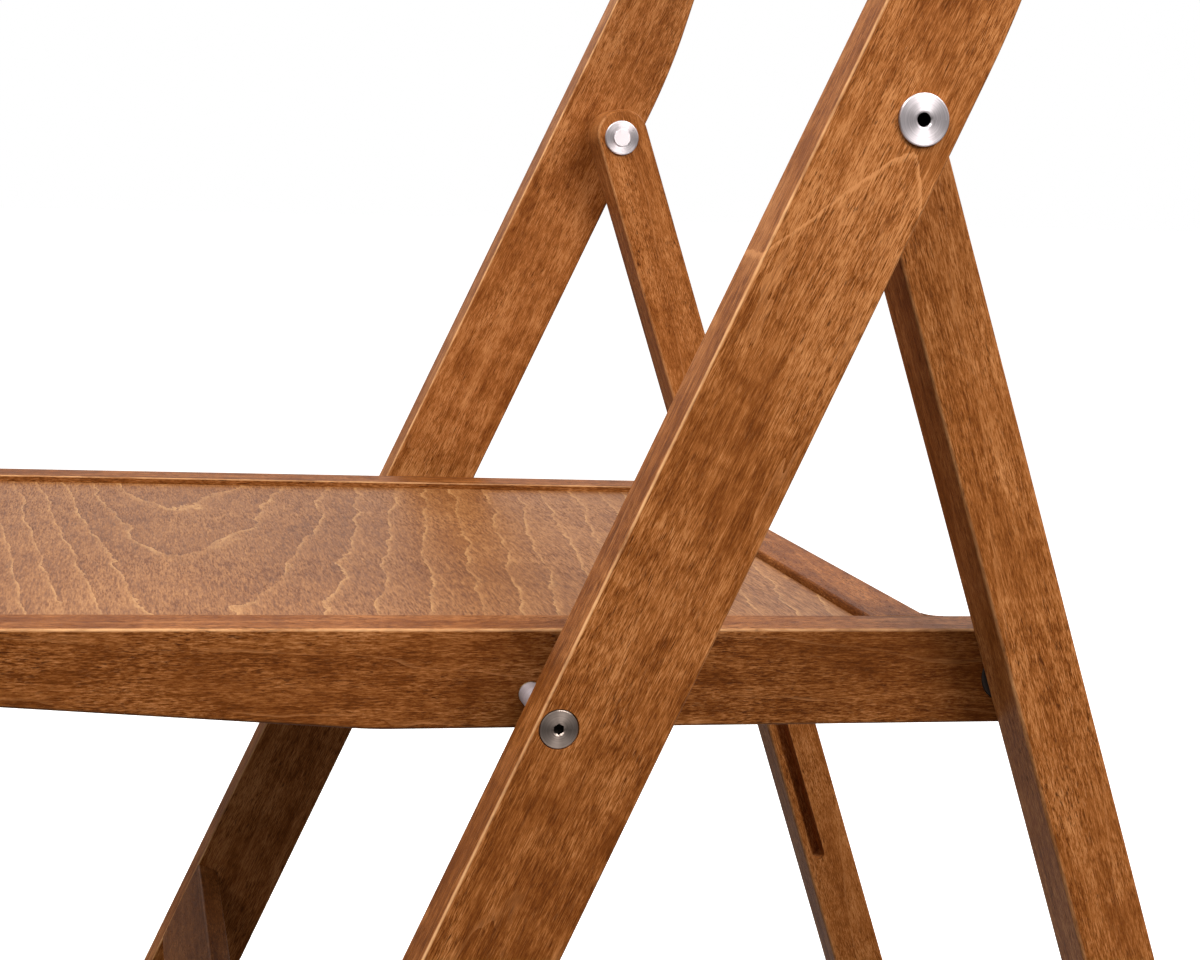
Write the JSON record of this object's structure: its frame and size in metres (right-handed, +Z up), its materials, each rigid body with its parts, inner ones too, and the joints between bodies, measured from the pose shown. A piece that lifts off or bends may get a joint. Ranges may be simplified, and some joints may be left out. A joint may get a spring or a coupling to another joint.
{
  "type": "folding chair",
  "caption": "Wooden folding chair: raking stiles with a curved backrest, pivoted rear legs and a framed panel seat that tips up as the legs close.",
  "frame": {"origin": "on the floor under the middle of the open chair's overall box", "axes": "+X across the chair towards its left-hand side as seen from the front, +Y from the front of the seat to the back, +Z up"},
  "size_m": [0.4444, 0.5292, 0.775],
  "materials": {
    "wood_frame": "satin",
    "wood_legs": "satin",
    "wood_seat": "satin",
    "panel_veneer": "satin",
    "dowel_wood": "matte",
    "pivot_steel": "satin",
    "turned_steel": "satin",
    "dark_steel": "satin",
    "insert_brass": "satin",
    "glide_nylon": "matte",
    "washer_nylon": "matte"
  },
  "bodies": {
    "side_frame": {"left_stile": "wood_frame", "right_stile": "wood_frame", "front_stretcher": "wood_legs", "front_stretcher_dowels": "dowel_wood", "backrest": "wood_frame", "backrest_dowels": "dowel_wood", "leg_pivot_sleeves": "pivot_steel", "leg_pivot_screws": "pivot_steel", "leg_pivot_washers": "washer_nylon", "seat_pivot_bolts": "turned_steel", "seat_pivot_spacers": "turned_steel", "stile_glides": "glide_nylon"},
    "seat": {"left_seat_rail": "wood_seat", "right_seat_rail": "wood_seat", "front_seat_rail": "wood_seat", "rear_seat_rail": "wood_seat", "seat_rail_dowels": "dowel_wood", "seat_panel": "panel_veneer", "seat_pivot_inserts": "insert_brass", "guide_flanges": "dark_steel"},
    "rear_legs": {"left_leg": "wood_legs", "right_leg": "wood_legs", "rear_stretcher": "wood_legs", "rear_stretcher_dowels": "dowel_wood", "leg_glides": "glide_nylon"},
    "sliding_pins": {"guide_pins": "turned_steel"}
  },
  "joints": [
    {"name": "seat_fold", "type": "hinge", "parent": "side_frame", "child": "seat", "pos_m": [0, -0.0555, 0.427], "axis": [-1, 0, 0], "range_deg": [0, 109.74]},
    {"name": "leg_fold", "type": "hinge", "parent": "side_frame", "child": "rear_legs", "pos_m": [0, 0.05397, 0.61227], "axis": [-1, 0, 0], "range_deg": [0, 43.2]},
    {"name": "pin_slide", "type": "slide", "parent": "rear_legs", "child": "sliding_pins", "axis": [0, 0.3065, -0.9519], "range_m": [0, 0.1846]}
  ],
  "couplings": [
    {"joint": "leg_fold", "follows": "seat_fold", "ratio": 0.39366},
    {"joint": "pin_slide", "follows": "seat_fold", "m_per_rad": 0.09638}
  ]
}
